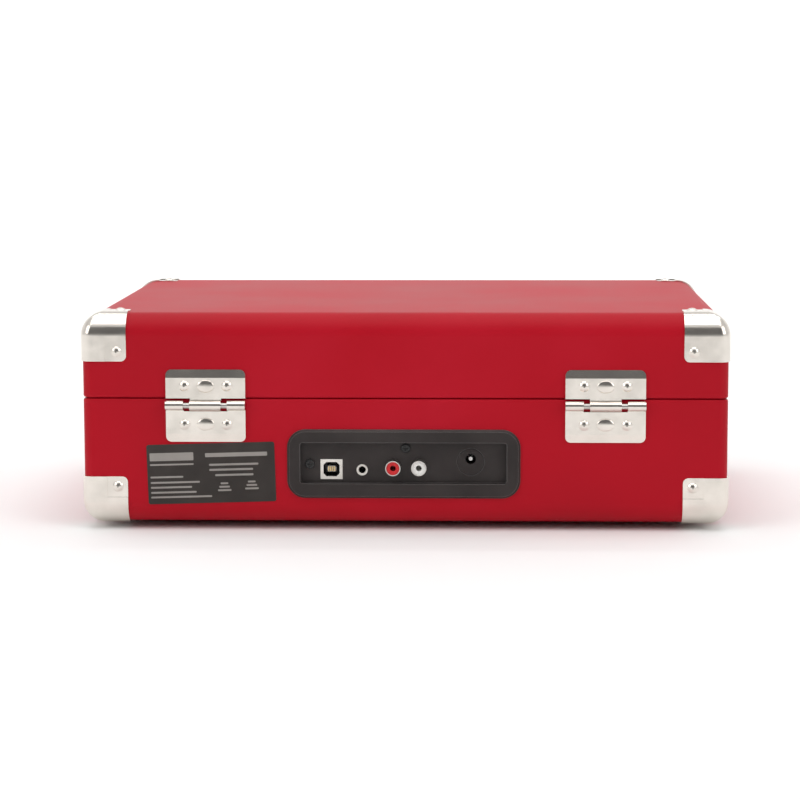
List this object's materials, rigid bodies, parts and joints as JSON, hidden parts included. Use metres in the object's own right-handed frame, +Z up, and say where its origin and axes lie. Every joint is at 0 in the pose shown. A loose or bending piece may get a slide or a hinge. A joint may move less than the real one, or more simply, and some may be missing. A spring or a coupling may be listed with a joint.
{
  "type": "suitcase record player",
  "caption": "Portable suitcase record player in a red leatherette case with metal corners, rear sockets, hinged lid, belt-drive platter and tonearm.",
  "frame": {"origin": "under the middle of the whole object, on the surface the feet stand on", "axes": "+Z up; -Y is the front with the handle and latches; +Y is the rear with the hinges and sockets; +X is the right side seen from the front"},
  "size_m": [0.3556, 0.2712, 0.1211],
  "materials": {
    "red_leatherette": "embossed coated paper, satin",
    "board": "raw medium-density board",
    "hardboard": "smooth hardboard",
    "lining": "black flocked lining",
    "nickel_plate": "bright nickel plate on pressed steel",
    "steel": "plain",
    "black_steel": "black",
    "black_plastic": "moulded, fine texture",
    "deck_plastic": "moulded, fine texture",
    "platter_plastic": "moulded",
    "felt": "felt",
    "rubber": "matt",
    "red_insulator": "moulded",
    "cartridge_red": "moulded",
    "white_insulator": "moulded",
    "circuit_board": "green laminate",
    "speaker_cone": "pressed paper and steel",
    "handle_cover": "padded, stitched",
    "label": null
  },
  "bodies": {
    "base": {"adapter_45": "black_plastic", "arm_rest": "black_plastic", "aux_jack": "steel", "base_box": "board", "base_leatherette": "red_leatherette", "base_rivets": "nickel_plate", "bottom_hatch": "hardboard", "case_screws": "black_steel", "connection_panel": "black_plastic", "control_bodies": "black_plastic", "dc_jack": "black_plastic", "deck_plate": "deck_plastic", "drive_belt": "rubber", "feet": "rubber", "handle_brackets": "nickel_plate", "hinge_base_leaves": "nickel_plate", "hinge_pins": "steel", "latch_plates": "nickel_plate", "main_board": "circuit_board", "motor": "steel", "panel_screws": "black_steel", "protector_base_front_left": "nickel_plate", "protector_base_front_right": "nickel_plate", "protector_base_rear_left": "nickel_plate", "protector_base_rear_right": "nickel_plate", "rating_label": "label", "rca_insert_red": "red_insulator", "rca_insert_white": "white_insulator", "rca_shells": "steel", "speaker_drivers": "speaker_cone", "speaker_grilles": "black_steel", "spindle": "steel", "tonearm_base": "black_plastic", "usb_socket": "steel"},
    "lid": {"lid_box": "board", "lid_leatherette": "red_leatherette", "lid_lining": "lining", "lid_rivets": "nickel_plate", "hinge_lid_leaves": "nickel_plate", "latch_keepers": "nickel_plate", "protector_lid_front_left": "nickel_plate", "protector_lid_front_right": "nickel_plate", "protector_lid_rear_left": "nickel_plate", "protector_lid_rear_right": "nickel_plate"},
    "handle": {"handle_grip": "handle_cover"},
    "latch_left": {"latch_lever_left": "nickel_plate"},
    "latch_right": {"latch_lever_right": "nickel_plate"},
    "turntable": {"platter": "platter_plastic", "platter_mat": "felt"},
    "pulley": {"motor_pulley": "black_plastic"},
    "arm_turret": {"tonearm_yoke": "black_plastic", "tonearm_pin": "steel"},
    "arm": {"tonearm_tube": "black_plastic", "headshell": "black_plastic", "cartridge": "cartridge_red"},
    "cue": {"cue_lever": "black_plastic"},
    "cue_riser": {"cue_bar": "black_plastic"},
    "volume": {"volume_knob": "black_plastic"},
    "speed": {"speed_slider": "black_plastic"},
    "auto_stop": {"auto_stop_slider": "black_plastic"}
  },
  "joints": [
    {"name": "lid_hinge", "type": "hinge", "parent": "base", "child": "lid", "pos_m": [0, 0.13287, 0.0694], "axis": [-1, 0, 0], "range_deg": [0, 100]},
    {"name": "handle_swing", "type": "hinge", "parent": "base", "child": "handle", "pos_m": [0, -0.12912, 0.0538], "axis": [-1, 0, 0], "range_deg": [0, 95]},
    {"name": "latch_left_turn", "type": "hinge", "parent": "base", "child": "latch_left", "pos_m": [-0.074, -0.12452, 0.0538], "axis": [1, 0, 0], "range_deg": [0, 80]},
    {"name": "latch_right_turn", "type": "hinge", "parent": "base", "child": "latch_right", "pos_m": [0.074, -0.12452, 0.0538], "axis": [1, 0, 0], "range_deg": [0, 80]},
    {"name": "platter_spin", "type": "hinge", "parent": "base", "child": "turntable", "pos_m": [-0.022, -0.00513, 0.0688], "axis": [0, 0, -1], "continuous": true},
    {"name": "pulley_spin", "type": "hinge", "parent": "base", "child": "pulley", "pos_m": [-0.08422, 0.0571, 0.0688], "axis": [0, 0, -1], "continuous": true},
    {"name": "tonearm_swivel", "type": "hinge", "parent": "base", "child": "arm_turret", "pos_m": [0.128, 0.09087, 0.0688], "axis": [0, 0, -1], "range_deg": [0, 44]},
    {"name": "tonearm_lift", "type": "hinge", "parent": "arm_turret", "child": "arm", "pos_m": [0.128, 0.09087, 0.0918], "axis": [-0.999, -0.0436, 0], "range_deg": [0, 4.5]},
    {"name": "cue_lever_turn", "type": "hinge", "parent": "base", "child": "cue", "pos_m": [0.14596, 0.08765, 0.0748], "axis": [-0.999, -0.0436, 0], "range_deg": [0, 60]},
    {"name": "cue_bar_rise", "type": "slide", "parent": "base", "child": "cue_riser", "axis": [0, 0, 1], "range_m": [0, 0.0017]},
    {"name": "volume_turn", "type": "hinge", "parent": "base", "child": "volume", "pos_m": [0.154, -0.05713, 0.0688], "axis": [0, 0, -1], "range_deg": [0, 280]},
    {"name": "speed_slide", "type": "slide", "parent": "base", "child": "speed", "axis": [0, 1, 0], "range_m": [0, 0.012]},
    {"name": "auto_stop_slide", "type": "slide", "parent": "base", "child": "auto_stop", "axis": [0, 1, 0], "range_m": [0, 0.006]}
  ],
  "couplings": [
    {"joint": "platter_spin", "follows": "pulley_spin", "ratio": 0.066667},
    {"joint": "tonearm_lift", "follows": "cue_lever_turn", "ratio": 0.075},
    {"joint": "cue_bar_rise", "follows": "cue_lever_turn", "m_per_rad": 0.001575}
  ]
}
